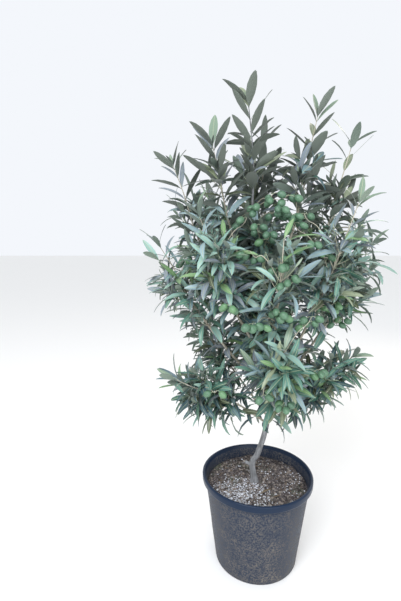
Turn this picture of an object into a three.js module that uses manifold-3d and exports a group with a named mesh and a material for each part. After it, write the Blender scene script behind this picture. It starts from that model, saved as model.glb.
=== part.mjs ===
// A young olive tree in a round black nursery pot: one slender trunk that runs up through the crown as its
// leader, eighteen thin boughs that leave it all round, and twenty-one masses of foliage.
// Millimetres, +Z up. The origin is the middle of the pot's flat underside.
// +X is to the right and +Y away from someone who faces the tree's front.

import * as THREE from 'three';
import { mergeVertices } from 'three/addons/utils/BufferGeometryUtils.js';
import Module from 'manifold-3d';

const wasm = await Module();
wasm.setup();

// Fit: solids that touch keep seatGap, and masses of foliage keep leafGap between them
const seatGap = 0.3;
const leafGap = 3;
const mergeDistance = 1e-4;

// Pot: a moulded cone in three solids: its floor, its wall, and the lip with a band turned down from it
const potHeight = 300;
const potBaseRadius = 134;
const potWallTopRadius = 172;
const potWall = 4;
const rimRadius = 180;
const rimBand = 22;
const rimRound = 3;
const rimDraft = 1;
const potFacets = 40;
const drain = { count: 6, radius: 8, circle: 98, facets: 10 };

// Potting soil, level round the stem and lower at the wall
const soilTop = 265;
const soilEdgeTop = 261;
const soilLevelRadius = 90;

// Trunk: sideways, away and height of each point that it passes through
const trunkWay = [
  [0, 0, soilTop + seatGap],
  [-9, 0, 335],
  [12, -2, 400],
  [34, -4, 520],
  [30, -8, 650],
  [8, -16, 800],
  [-16, -28, 950],
  [-36, -40, 1090],
  [-46, -50, 1200],
];
const trunkFootRadius = 9.6;
const trunkTipRadius = 3.2;
const trunkSides = 12;
const trunkRings = 26;

// Root flare: how much it adds at the soil, how fast it dies away upward, and its lobes
const flare = { extra: 5.2, height: 22, lobes: 3, lobeShare: 0.35 };

// Stub of a pruned side shoot on the trunk, with its length from the trunk's middle line
const stub = { height: 322, bearing: 180, length: 27, climb: 12, radius: 4.2 };

// Boughs: round limbs that thin evenly
const boughSides = 6;
const boughRings = 8;
const boughTipShare = 0.55;
const bendShare = 0.6;

// Sprays, each a bough with a mass of foliage on it. The columns are its name, the height at which the bough
// leaves the trunk, its bearing in degrees (0 is +X and 90 is +Y), how far out and how high its tip lies, the
// half length, half width and half depth of the foliage, the bough's radius where it starts, and the share of
// its climb that the bough's bend has made
const sprays = [
  ['left_shoulder', 800, -150, 190, 1352, [165, 84, 74], 4.6, 0.36],
  ['right_shoulder', 830, -7, 156, 1448, [190, 80, 72], 4.8, 0.34],
  ['far_right', 700, 12, 286, 1382, [185, 84, 76], 5.2, 0.34],
  ['far_left', 690, 164, 298, 1322, [180, 84, 76], 5.2, 0.34],
  ['back_upper', 860, 84, 186, 1406, [190, 92, 80], 4.6, 0.34],
  ['back_left', 652, 122, 290, 1232, [180, 104, 90], 5, 0.38],
  ['front_left', 668, -138, 278, 1160, [165, 104, 90], 4.8, 0.38],
  ['left', 570, -172, 336, 1080, [165, 100, 88], 5, 0.42],
  ['front', 632, -88, 262, 1110, [165, 108, 90], 4.8, 0.38],
  ['front_right', 602, -42, 292, 1196, [180, 104, 90], 5, 0.38],
  ['right', 560, 0, 342, 1086, [165, 102, 90], 5, 0.42],
  ['back_right', 624, 46, 306, 1204, [180, 106, 92], 5, 0.4],
  ['back', 550, 94, 322, 1030, [165, 108, 94], 5, 0.42],
  ['low_front', 500, -84, 262, 800, [130, 112, 84], 3.8, 0.62],
  ['low_right', 480, -18, 306, 740, [140, 104, 80], 3.8, 0.7],
  ['low_left', 470, -160, 318, 680, [142, 100, 76], 3.8, 0.8],
  ['low_back_left', 490, 138, 296, 800, [136, 108, 84], 3.8, 0.6],
  ['low_back_right', 500, 58, 290, 780, [136, 108, 84], 3.8, 0.6],
].map(([name, leaves, bearing, reach, tip, half, thick, climb]) => (
  { name, leaves, bearing, reach, tip, half, thick, climb }));

// Foliage on the trunk itself: the leading shoot at its tip, and two masses that it runs up through
const stemMasses = [
  { name: 'leader', centre: [-52, -56, 1300], axis: [-0.06, -0.06, 1], half: [168, 66, 62] },
  { name: 'upper_heart', centre: [-24, -20, 1010], axis: [-0.15, -0.1, 1], half: [150, 120, 116] },
  { name: 'lower_heart', centre: [18, 0, 760], axis: [-0.1, 0, 1], half: [140, 116, 112] },
];

// Masses: how finely they are faceted, how much of their length is their core, and the depth of their lumps
// with the number of waves that the lumps make along, across and through them
const massDetail = 2;
const coreShare = 0.72;
const lump = { depth: 0.17, along: 4.3, across: 3.9, through: 5.1, throughShare: 0.6 };

// Colours, roughness and metalness of each finish
const finishes = {
  blackPlastic: new THREE.MeshStandardMaterial({ color: 0x20242b, roughness: 0.5, metalness: 0 }),
  soil: new THREE.MeshStandardMaterial({ color: 0x5d5148, roughness: 0.95, metalness: 0 }),
  bark: new THREE.MeshStandardMaterial({ color: 0x7d786c, roughness: 0.85, metalness: 0 }),
  foliage: new THREE.MeshStandardMaterial({ color: 0x64756a, roughness: 0.7, metalness: 0 }),
};

// A three.js geometry as a solid that can be cut and joined
function solidOf(geometry) {
  const bare = geometry.index ? geometry.toNonIndexed() : geometry.clone();
  bare.deleteAttribute('normal');
  bare.deleteAttribute('uv');
  const merged = mergeVertices(bare, mergeDistance);
  return new wasm.Manifold(new wasm.Mesh({
    numProp: 3,
    vertProperties: new Float32Array(merged.attributes.position.array),
    triVerts: new Uint32Array(merged.index.array),
  }));
}

// A solid back as a three.js geometry
function geometryOf(solid) {
  const cut = solid.getMesh();
  const places = new Float32Array(cut.numVert * 3);
  for (let i = 0; i < cut.numVert; i++) {
    places.set(cut.vertProperties.subarray(i * cut.numProp, i * cut.numProp + 3), i * 3);
  }
  const geometry = new THREE.BufferGeometry();
  geometry.setAttribute('position', new THREE.BufferAttribute(places, 3));
  geometry.setIndex(new THREE.BufferAttribute(new Uint32Array(cut.triVerts), 1));
  geometry.computeVertexNormals();
  return geometry;
}

// The largest piece of a solid that a cut left in several
function largestOf(solid) {
  return solid.decompose().sort((a, b) => b.volume() - a.volume())[0];
}

// A level direction at a bearing in degrees
function levelWay(bearing) {
  const turn = THREE.MathUtils.degToRad(bearing);
  return new THREE.Vector3(Math.cos(turn), Math.sin(turn), 0);
}

// A lathe round +Z from a list of [radius, height]
function turned(profile, facets) {
  const points = profile.map(([r, z]) => new THREE.Vector2(r, z));
  return new THREE.LatheGeometry(points, facets).rotateX(Math.PI / 2);
}

// The radius of the pot's outer wall at a height
function outerRadius(z) {
  return THREE.MathUtils.lerp(potBaseRadius, potWallTopRadius, z / potHeight);
}

// The radius of the pot's inner wall at a height
function innerRadius(z) {
  return outerRadius(z) - potWall;
}

// Pot's floor: a flat disc inside the foot of the wall, with drain holes through it
function potFloor() {
  const profile = [
    [0, 0],
    [innerRadius(0) - seatGap, 0],
    [innerRadius(potWall) - seatGap, potWall],
    [0, potWall],
  ];
  let solid = solidOf(turned(profile, potFacets));
  for (let i = 0; i < drain.count; i++) {
    const drill = new THREE.CylinderGeometry(drain.radius, drain.radius, 4 * potWall, drain.facets);
    drill.rotateX(Math.PI / 2);
    const place = levelWay((i + 0.5) * 360 / drain.count).multiplyScalar(drain.circle);
    drill.translate(place.x, place.y, place.z);
    solid = solid.subtract(solidOf(drill));
  }
  return solid;
}

// Pot's wall: a cone from the ground to the underside of the band
function potWallRing() {
  const top = potHeight - rimBand;
  return solidOf(turned([
    [innerRadius(0), 0],
    [outerRadius(0), 0],
    [outerRadius(top), top],
    [innerRadius(top), top],
    [innerRadius(0), 0],
  ], potFacets));
}

// Pot's rim: the lip with its turned-down band, rounded above and seated on the wall
function potRim() {
  const foot = potHeight - rimBand + seatGap;
  return solidOf(turned([
    [innerRadius(foot), foot],
    [rimRadius - rimDraft, foot],
    [rimRadius, foot + rimDraft],
    [rimRadius, potHeight - rimRound],
    [rimRadius - rimRound, potHeight],
    [innerRadius(potHeight) + rimRound, potHeight],
    [innerRadius(potHeight), potHeight - rimRound],
    [innerRadius(foot), foot],
  ], potFacets));
}

// Soil: a plug that fills the pot from its floor, level in the middle
function soil() {
  const foot = potWall + seatGap;
  const profile = [
    [0, foot],
    [innerRadius(foot) - seatGap, foot],
    [innerRadius(soilEdgeTop) - seatGap, soilEdgeTop],
    [soilLevelRadius, soilTop],
    [0, soilTop],
  ];
  return solidOf(turned(profile, potFacets));
}

const trunkPoints = trunkWay.map((place) => new THREE.Vector3(...place));
const trunkCurve = new THREE.CatmullRomCurve3(trunkPoints, false, 'centripetal');

// The point on the trunk's middle line at a height, by halving
function trunkAt(height) {
  let low = 0;
  let high = 1;
  while (high - low > 1e-6) {
    const middle = (low + high) / 2;
    if (trunkCurve.getPointAt(middle).z < height) low = middle;
    else high = middle;
  }
  return trunkCurve.getPointAt(low);
}

// A round limb along a curve: a cylinder whose rings are laid across the curve, with its radius as a function
// of the share of the way along it and the angle round it
function limb(curve, rings, sides, radiusAt) {
  const geometry = new THREE.CylinderGeometry(1, 1, 1, sides, rings);
  const frames = curve.computeFrenetFrames(rings, false);
  const places = geometry.attributes.position;
  const at = new THREE.Vector3();
  for (let i = 0; i < places.count; i++) {
    const [x, z] = [places.getX(i), places.getZ(i)];
    const ring = Math.round((places.getY(i) + 0.5) * rings);
    const radius = radiusAt(ring / rings, Math.atan2(x, z));
    at.copy(curve.getPointAt(ring / rings));
    at.addScaledVector(frames.binormals[ring], radius * x);
    at.addScaledVector(frames.normals[ring], radius * z);
    places.setXYZ(i, at.x, at.y, at.z);
  }
  return geometry;
}

// Trunk: tapered, flared into root lobes and cut level at the soil, with the pruned stub on it
function trunk(extra = 0) {
  const length = trunkCurve.getLength();
  const stem = limb(trunkCurve, trunkRings, trunkSides, (share, turn) => {
    const spread = flare.extra * Math.exp(-share * length / flare.height);
    const lobes = 1 + flare.lobeShare * Math.cos(flare.lobes * turn);
    return THREE.MathUtils.lerp(trunkFootRadius, trunkTipRadius, share) + spread * lobes + extra;
  });
  const foot = trunkPoints[0].z;
  const places = stem.attributes.position;
  for (let i = 0; i < places.count; i++) {
    if (places.getZ(i) < foot + flare.extra) places.setZ(i, foot);
  }
  const start = trunkAt(stub.height);
  const end = start.clone().addScaledVector(levelWay(stub.bearing), stub.length + extra);
  end.z += stub.climb;
  const stubShape = limb(new THREE.LineCurve3(start, end), 1, boughSides, () => stub.radius + extra);
  return solidOf(stem).add(solidOf(stubShape));
}

// The way of a spray's limb, from the trunk's middle line to the spray's tip
function sprayCurve(spray) {
  const start = trunkAt(spray.leaves);
  const tip = levelWay(spray.bearing).multiplyScalar(spray.reach);
  tip.z = spray.tip;
  const bend = start.clone().lerp(tip, bendShare);
  bend.z = THREE.MathUtils.lerp(start.z, tip.z, spray.climb);
  return new THREE.QuadraticBezierCurve3(start, bend, tip);
}

// A spray's bough, as far as the middle of its foliage
function bough(spray, extra = 0) {
  const whole = sprayCurve(spray);
  const reach = 1 - spray.half[0] / whole.getLength();
  const points = [];
  for (let i = 0; i <= boughRings; i++) {
    points.push(whole.getPointAt(reach * i / boughRings));
  }
  const part = new THREE.CatmullRomCurve3(points);
  const radiusAt = (share) => spray.thick * THREE.MathUtils.lerp(1, boughTipShare, share) + extra;
  return solidOf(limb(part, boughRings, boughSides, radiusAt));
}

// A spray's foliage lies along the last stretch of its limb
function sprayMass(spray) {
  const curve = sprayCurve(spray);
  const inner = curve.getPointAt(1 - 2 * spray.half[0] / curve.getLength());
  const tip = curve.getPointAt(1);
  const centre = inner.clone().lerp(tip, 0.5);
  return { name: spray.name, centre, axis: tip.sub(inner), half: spray.half };
}

// Every mass with its middle, its three directions and the core line along its middle
const masses = [...stemMasses, ...sprays.map(sprayMass)].map(({ name, centre, axis, half }) => {
  const middle = new THREE.Vector3(...centre);
  const along = new THREE.Vector3(...axis).normalize();
  const across = new THREE.Vector3(-along.z, 0, along.x).normalize();
  const through = new THREE.Vector3().crossVectors(along, across);
  across.crossVectors(through, along);
  const core = new THREE.Line3(
    middle.clone().addScaledVector(along, -coreShare * half[0]),
    middle.clone().addScaledVector(along, coreShare * half[0]),
  );
  return { name, middle, along, across, through, half, core };
});

// The flat limits between a mass and the others, each as a direction and a distance from its middle. A limit
// lies across the shortest way between the two masses' cores, and shares it out by how wide they are
function limitsOf(mass) {
  return masses.filter((other) => other !== mass).map((other) => {
    const mine = new THREE.Vector3();
    const theirs = new THREE.Vector3();
    const apart = Math.sqrt(mass.core.distanceSqToLine3(other.core, mine, theirs));
    const way = theirs.sub(mine).normalize();
    const share = mass.half[1] / (mass.half[1] + other.half[1]);
    return { way, distance: mine.sub(mass.middle).dot(way) + apart * share - leafGap / 2 };
  });
}

// A mass of foliage: a lumpy ellipsoid along its own directions, flattened where it meets its neighbours
function foliage(mass, extra = 0) {
  const geometry = new THREE.IcosahedronGeometry(1, massDetail);
  const limits = limitsOf(mass);
  const phase = masses.indexOf(mass);
  const places = geometry.attributes.position;
  const out = new THREE.Vector3();
  for (let i = 0; i < places.count; i++) {
    const [x, y, z] = [places.getX(i), places.getY(i), places.getZ(i)];
    const waves = Math.sin(lump.along * x + phase) * Math.cos(lump.across * y + 2 * phase)
      + Math.sin(lump.through * z - phase) * lump.throughShare;
    const girth = 1 - lump.depth + lump.depth * waves * (1 - Math.abs(x));
    out.copy(mass.along).multiplyScalar(x * mass.half[0] * (girth + lump.depth * Math.abs(x)));
    out.addScaledVector(mass.across, y * mass.half[1] * girth);
    out.addScaledVector(mass.through, z * mass.half[2] * girth);
    let held = 1;
    for (const limit of limits) {
      const reach = out.dot(limit.way);
      if (reach * held > limit.distance) held = limit.distance / reach;
    }
    out.multiplyScalar(held + extra / out.length()).add(mass.middle);
    places.setXYZ(i, out.x, out.y, out.z);
  }
  return solidOf(geometry);
}

// The whole plant and its pot
const group = new THREE.Group();

function add(name, solid, finish) {
  const mesh = new THREE.Mesh(geometryOf(solid), finish);
  mesh.name = name;
  group.add(mesh);
}

add('pot_floor', potFloor(), finishes.blackPlastic);
add('pot_wall', potWallRing(), finishes.blackPlastic);
add('pot_rim', potRim(), finishes.blackPlastic);
add('potting_soil', soil(), finishes.soil);

const grownMasses = new Map(masses.map((mass) => [mass.name, foliage(mass, seatGap)]));
const grownTrunk = trunk(seatGap);

add('trunk', largestOf(trunk().subtract(grownMasses.get('leader'))), finishes.bark);

for (const spray of sprays) {
  const cut = bough(spray).subtract(grownMasses.get(spray.name)).subtract(grownTrunk);
  add('bough_' + spray.name, largestOf(cut), finishes.bark);
}

for (const mass of masses) {
  let solid = foliage(mass);
  if (mass.name !== 'leader') solid = solid.subtract(grownTrunk);
  for (const spray of sprays) {
    if (spray.name !== mass.name) solid = solid.subtract(bough(spray, seatGap));
  }
  add('foliage_' + mass.name, largestOf(solid), finishes.foliage);
}

export default group;
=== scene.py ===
import math
from itertools import combinations

import bpy
import numpy as np
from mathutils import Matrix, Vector
from mathutils.bvhtree import BVHTree


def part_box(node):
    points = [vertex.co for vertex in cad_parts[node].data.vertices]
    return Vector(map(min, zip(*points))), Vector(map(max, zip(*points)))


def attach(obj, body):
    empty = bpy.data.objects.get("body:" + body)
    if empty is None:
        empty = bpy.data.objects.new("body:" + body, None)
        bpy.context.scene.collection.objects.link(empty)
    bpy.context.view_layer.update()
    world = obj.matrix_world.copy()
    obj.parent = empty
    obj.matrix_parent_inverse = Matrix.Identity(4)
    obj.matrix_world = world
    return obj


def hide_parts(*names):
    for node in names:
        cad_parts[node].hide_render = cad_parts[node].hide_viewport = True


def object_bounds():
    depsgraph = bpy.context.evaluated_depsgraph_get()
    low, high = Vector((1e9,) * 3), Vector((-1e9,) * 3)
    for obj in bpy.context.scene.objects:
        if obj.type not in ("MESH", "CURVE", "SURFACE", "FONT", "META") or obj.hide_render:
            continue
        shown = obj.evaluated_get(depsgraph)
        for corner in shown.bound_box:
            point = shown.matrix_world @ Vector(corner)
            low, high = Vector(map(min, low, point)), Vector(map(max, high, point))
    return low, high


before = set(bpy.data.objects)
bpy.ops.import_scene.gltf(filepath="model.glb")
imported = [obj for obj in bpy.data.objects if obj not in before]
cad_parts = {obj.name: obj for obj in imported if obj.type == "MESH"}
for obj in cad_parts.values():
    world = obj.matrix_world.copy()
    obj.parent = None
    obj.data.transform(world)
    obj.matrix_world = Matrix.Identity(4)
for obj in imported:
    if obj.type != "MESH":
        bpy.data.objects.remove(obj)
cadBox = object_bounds()
print("stage: frame loaded with", len(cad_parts), "nodes")

mm = 0.001
up = np.array([0.0, 0.0, 1.0])
flat = np.array([1.0, 1.0, 0.0])  # times a vector, this leaves its level part
leaning = np.array([0.31, -0.83, 0.46])  # a fixed direction, to count turns round a shoot from
rng = np.random.default_rng(42)


# materials

def linearColour(hexText):
    # sRGB hex to linear: each channel is undone by the sRGB curve
    parts = np.array([int(hexText[i:i + 2], 16) for i in (1, 3, 5)]) / 255
    linear = np.where(parts <= 0.04045, parts / 12.92, ((parts + 0.055) / 1.055) ** 2.4)
    return (*linear.tolist(), 1.0)


def addNode(tree, kind, settings=None):
    # one shader node; each setting names a socket or else a property, nodes and sockets are linked in, and
    # the stops of a colour ramp are pairs of a place and a colour
    node = tree.nodes.new("ShaderNode" + kind)
    for key, value in (settings or {}).items():
        if isinstance(value, bpy.types.Node):
            value = value.outputs[0]
        if isinstance(value, bpy.types.NodeSocket):
            tree.links.new(value, node.inputs[key])
        elif key == "stops":
            elements = node.color_ramp.elements
            for place, _ in value[1:-1]:
                elements.new(place)
            for element, (place, colour) in zip(elements, value):
                element.position, element.color = place, linearColour(colour)
        elif isinstance(key, int) or key in node.inputs:
            node.inputs[key].default_value = value
        else:
            setattr(node, key, value)
    return node


def newMaterial(name):
    # an empty node material, its tree, and the Object coordinates that its patterns read
    material = bpy.data.materials.new(name)
    material.use_nodes = True
    tree = material.node_tree
    tree.nodes.clear()
    return material, tree, addNode(tree, "TexCoord").outputs["Object"]


def shadeMaterial(material, settings):
    # closes a material with one Principled shader, whose constants are set on its own sockets
    shader = addNode(material.node_tree, "BsdfPrincipled", settings)
    addNode(material.node_tree, "OutputMaterial", {"Surface": shader})
    return material


def plainMaterial(name, colour, roughness, grain, settings=None):
    # one plain colour with a fine noise bump, whose grain is a size, a depth, a strength and a detail
    size, depth, strength, detail = grain
    material, tree, place = newMaterial(name)
    noise = addNode(tree, "TexNoise", {"Scale": 1 / size, "Detail": detail, "Vector": place})
    bump = addNode(tree, "Bump", {"Strength": strength, "Distance": depth, "Height": noise})
    look = {"Base Color": linearColour(colour), "Roughness": roughness, "IOR": 1.45, "Normal": bump}
    return shadeMaterial(material, look | (settings or {}))


def plainMaterials(name, colours, *look):
    # one numbered plain material for each of the colours
    return [plainMaterial(name + str(i), colour, *look) for i, colour in enumerate(colours)]


# shapes

def unit(vectors):
    # vectors divided by their lengths
    return vectors / np.maximum(np.linalg.norm(vectors, axis=-1, keepdims=True), 1e-9)


def anglesRound(count):
    # that many even angles once round
    return np.arange(count) * 2 * np.pi / count


def aroundAxis(turn, radius, height):
    # points round the Z axis: radius times cosine and sine of the turn, and a height
    return np.stack(np.broadcast_arrays(radius * np.cos(turn), radius * np.sin(turn), height), -1)


def squared(vectors, axes):
    # the part of each vector that is square to its axis, made one long
    return unit(vectors - (vectors * axes).sum(-1, keepdims=True) * axes)


def smoothNoise(points, size, seed):
    # noise from -1 to 1: random values on a cubic lattice of that size, eased between the eight nearest
    table = np.random.default_rng(seed).uniform(-1, 1, 8192)
    cell = np.asarray(points, float) / size
    base = np.floor(cell).astype(np.int64)
    part = cell - base
    part = part * part * (3 - 2 * part)
    total = np.zeros(cell.shape[:-1])
    for corner in np.ndindex(2, 2, 2):
        at = base + np.array(corner)
        mixed = at[..., 0] * 73856093 ^ at[..., 1] * 19349663 ^ at[..., 2] * 83492791
        weight = np.prod(np.where(np.array(corner) == 1, part, 1 - part), axis=-1)
        total += weight * table[mixed % len(table)]
    return total


def newObject(name, data):
    # a mesh, camera or lamp in the scene, at the origin
    thing = bpy.data.objects.new(name, data)
    bpy.context.scene.collection.objects.link(thing)
    return thing


def newPiece(name, points, faces, materials, slots=None, sharpAbove=None):
    # one smooth mesh object from arrays: points, a list of face arrays and a material slot for each face
    mesh = bpy.data.meshes.new(name)
    mesh.from_pydata(points.reshape(-1, 3).tolist(), [], [face for part in faces for face in part.tolist()])
    mesh.shade_smooth()
    for material in materials:
        mesh.materials.append(material)
    if slots is not None:
        mesh.polygons.foreach_set("material_index", slots.astype(np.int32))
    if sharpAbove is not None:
        mesh.set_sharp_from_angle(angle=math.radians(sharpAbove))
    return newObject(name, mesh)


def handOver(piece, slot, *nodes):
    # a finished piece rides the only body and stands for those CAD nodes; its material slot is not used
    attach(piece, "root")
    if nodes:
        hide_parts(*nodes)


def tubeFaces(count, rings, sides):
    # quads between neighbouring rings and a flat cap over each end, for so many tubes of rings of points
    ring, side = np.meshgrid(np.arange(rings - 1), np.arange(sides), indexing="ij")
    a = ring * sides + side
    b = ring * sides + (side + 1) % sides
    quads = np.stack([a, b, b + sides, a + sides], -1).reshape(-1, 4)
    foot = np.arange(sides)[::-1][None]
    tip = (rings - 1) * sides + np.arange(sides)[None]
    start = (np.arange(count) * rings * sides)[:, None, None]
    return [(part + start).reshape(-1, part.shape[1]) for part in (quads, foot, tip)]


def closedRings(rings, foot, tip):
    # quads between rings round the Z axis, and a fan from each end ring to a point on the axis
    count, sides = rings.shape[:2]
    points = np.vstack([rings.reshape(-1, 3), up * foot, up * tip])
    around = np.arange(sides)
    following = (around + 1) % sides
    last = (count - 1) * sides
    fans = [np.stack([following, around, np.full(sides, len(points) - 2)], -1),
            np.stack([last + around, last + following, np.full(sides, len(points) - 1)], -1)]
    return points, tubeFaces(1, count, sides)[:1] + fans


def newTubes(name, rings, materials, slots=None, sharpAbove=None):
    # closed tubes from their rings of points, one tube or many
    rings = rings.reshape(-1, *rings.shape[-3:])
    return newPiece(name, rings, tubeFaces(*rings.shape[:3]), materials, slots, sharpAbove)


def squareTo(tangents):
    # two directions square to each tangent and to each other, the first as near the fixed leaning as can be
    side = squared(leaning, tangents)
    return side, np.cross(tangents, side)


def waysFrames(ways):
    # tangents by differences along each way, and the two directions square to them
    tangents = unit(np.gradient(ways, axis=-2))
    return tangents, *squareTo(tangents)


def ringPoints(middles, radii, side, other, sides):
    # rings of points: middle plus radius times cosine and sine of the angle in two square directions
    turn = anglesRound(sides)[:, None]
    circle = side[..., None, :] * np.cos(turn) + other[..., None, :] * np.sin(turn)
    return middles[..., None, :] + circle * radii[..., None]


def tubePoints(ways, radii, sides):
    # rings round each way, with one radius for each of its points or for each corner of each ring
    radii = radii[..., None] if radii.ndim == ways.ndim - 1 else radii
    return ringPoints(ways, radii, *waysFrames(ways)[1:], sides)


# ways, which are rows of points

def alongWay(way):
    # the distance of each point along its way: the sum of the steps up to it
    return np.concatenate([[0], np.cumsum(np.linalg.norm(np.diff(way, axis=0), axis=1))])


def wayLength(way):
    # the sum of the steps
    return np.linalg.norm(np.diff(way, axis=0), axis=1).sum()


def readOff(places, along, vectors):
    # vectors at places between those at the distances along, each coordinate on its own
    return np.stack([np.interp(places, along, coordinate) for coordinate in vectors.T], -1)


def inStations(way, count):
    # the same way as that many points an even distance apart
    along = alongWay(way)
    return readOff(np.linspace(0, along[-1], count), along, way)


def evenSteps(way, step):
    # the same way with as many even steps as the length of one asks for
    return inStations(way, max(3, int(round(alongWay(way)[-1] / step)) + 1))


def sampleWay(way, places):
    # points and tangents of a way at distances along it
    along = alongWay(way)
    return readOff(places, along, way), unit(readOff(places, along, unit(np.gradient(way, axis=0))))


def throughPoints(points, step):
    # a cubic curve through the points, whose slope at each is half the way from the point before to the one
    # after, then laid out again in even steps of about that length
    padded = np.vstack([2 * points[0] - points[1], points, 2 * points[-1] - points[-2]])
    share = np.linspace(0, 1, 12, endpoint=False)[None, :, None]
    p0, p1, p2, p3 = (padded[i:len(padded) - 3 + i, None, :] for i in range(4))
    curve = 0.5 * (2 * p1 + (p2 - p0) * share + (2 * p0 - 5 * p1 + 4 * p2 - p3) * share ** 2
                   + (3 * p1 - p0 - 3 * p2 + p3) * share ** 3)
    return evenSteps(np.vstack([curve.reshape(-1, 3), points[-1]]), step)


# what the frame says of each limb

def nodeShape(name):
    # a CAD node's points and its triangles
    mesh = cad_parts[name].data
    mesh.calc_loop_triangles()
    points = np.empty(len(mesh.vertices) * 3, np.float32)
    mesh.vertices.foreach_get("co", points)
    triangles = np.empty(len(mesh.loop_triangles) * 3, np.int32)
    mesh.loop_triangles.foreach_get("vertices", triangles)
    return points.reshape(-1, 3).astype(float), triangles.reshape(-1, 3)


def limbWay(name, slices, axis=None):
    # a CAD limb's middle line and radii: planes across it cut its edges, and each plane's cuts have a middle
    # and a mean distance from it
    points, triangles = nodeShape(name)
    if axis is None:
        axis = unit(points[np.argmax(points[:, 2])] - points[np.argmin(points[:, 2])])
    start = points[triangles].reshape(-1, 3)
    end = points[triangles[:, [1, 2, 0]]].reshape(-1, 3)
    fromHeight, toHeight = start @ axis, end @ axis
    bottom, top = (points @ axis).min(), (points @ axis).max()
    middles, radii = [], []
    for height in bottom + (top - bottom) * np.linspace(0.04, 0.96, slices):
        cut = (fromHeight - height) * (toHeight - height) < 0
        share = (height - fromHeight[cut]) / (toHeight[cut] - fromHeight[cut])
        found = start[cut] + (end[cut] - start[cut]) * share[:, None]
        away = np.linalg.norm(found - np.median(found, axis=0), axis=1)
        found = found[away < 1.6 * np.median(away)]  # stray cuts are left out
        middle = (found.min(0) + found.max(0)) / 2
        middles.append(middle)
        radii.append(np.linalg.norm(found - middle, axis=1).mean())
    return np.array(middles), np.array(radii)


massNames = sorted(n[len("foliage_"):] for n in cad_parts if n.startswith("foliage_"))
sprayNames = sorted(n[len("bough_"):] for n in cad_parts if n.startswith("bough_"))
trunkMiddles, trunkRadii = limbWay("trunk", 30, up)
print("stage: limbs read,", len(sprayNames), "boughs and", len(massNames), "masses")


# camera and studio

studio = {
    "lens": 24.08,  # 402 px of focal length over the 601 px side
    "cameraHeight": 1.07,
    "ahead": 1.22,  # the pot's axis in front of the camera
    "right": 0.187,  # and to its right
    "pitch": 9.25,  # degrees down
    "floorSize": 40.0,
    "floorColour": "#f3f2ef",
    "skyColour": "#f4f7fc",
    "skyStrength": 1.0,
    # name: (place, aimed at, size, watts, colour)
    "lamps": {
        "soft_key": ((-1.3, -2.3, 3.0), (0, 0, 0.9), 1.8, 92, "#f6f9ff"),
        "soft_fill": ((0.9, -3.0, 1.3), (0, 0, 0.85), 2.4, 46, "#f2f6ff"),
        "soft_rim": ((1.8, 2.0, 2.4), (0, 0, 1.0), 1.4, 16, "#fff1dc"),
    },
}

cameraData = bpy.data.cameras.new("camera")
cameraData.lens = studio["lens"]
camera = newObject("camera", cameraData)
camera.location = (-studio["right"], -studio["ahead"], studio["cameraHeight"])
camera.rotation_euler = (math.radians(90 - studio["pitch"]), 0, 0)
bpy.context.scene.camera = camera

# matt painted floor, pale enough that the tree stands out on it
floorPaint = shadeMaterial(newMaterial("paintedStudioFloor")[0], {
    "Base Color": linearColour(studio["floorColour"]), "Roughness": 0.85})
floorCorners = np.array([(-1, -1, 0), (1, -1, 0), (1, 1, 0), (-1, 1, 0)]) * studio["floorSize"] / 2
newPiece("studio_floor", floorCorners, [np.array([[0, 1, 2, 3]])], [floorPaint])

world = bpy.data.worlds.new("studio")
bpy.context.scene.world = world
world.use_nodes = True
world.node_tree.nodes.clear()
background = addNode(world.node_tree, "Background", {
    "Color": linearColour(studio["skyColour"]), "Strength": studio["skyStrength"]})
addNode(world.node_tree, "OutputWorld", {"Surface": background})

for name, (place, aim, size, watts, colour) in studio["lamps"].items():
    lampData = bpy.data.lights.new(name, "AREA")
    lampData.shape = "DISK"
    lampData.size = size
    lampData.energy = watts
    lampData.color = linearColour(colour)[:3]
    lamp = newObject(name, lampData)
    lamp.location = place
    lamp.rotation_euler = (Vector(aim) - Vector(place)).to_track_quat("-Z", "Y").to_euler()
bpy.context.scene.view_settings.view_transform = "Standard"
print("stage: studio set")


# growth of shoots

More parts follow.
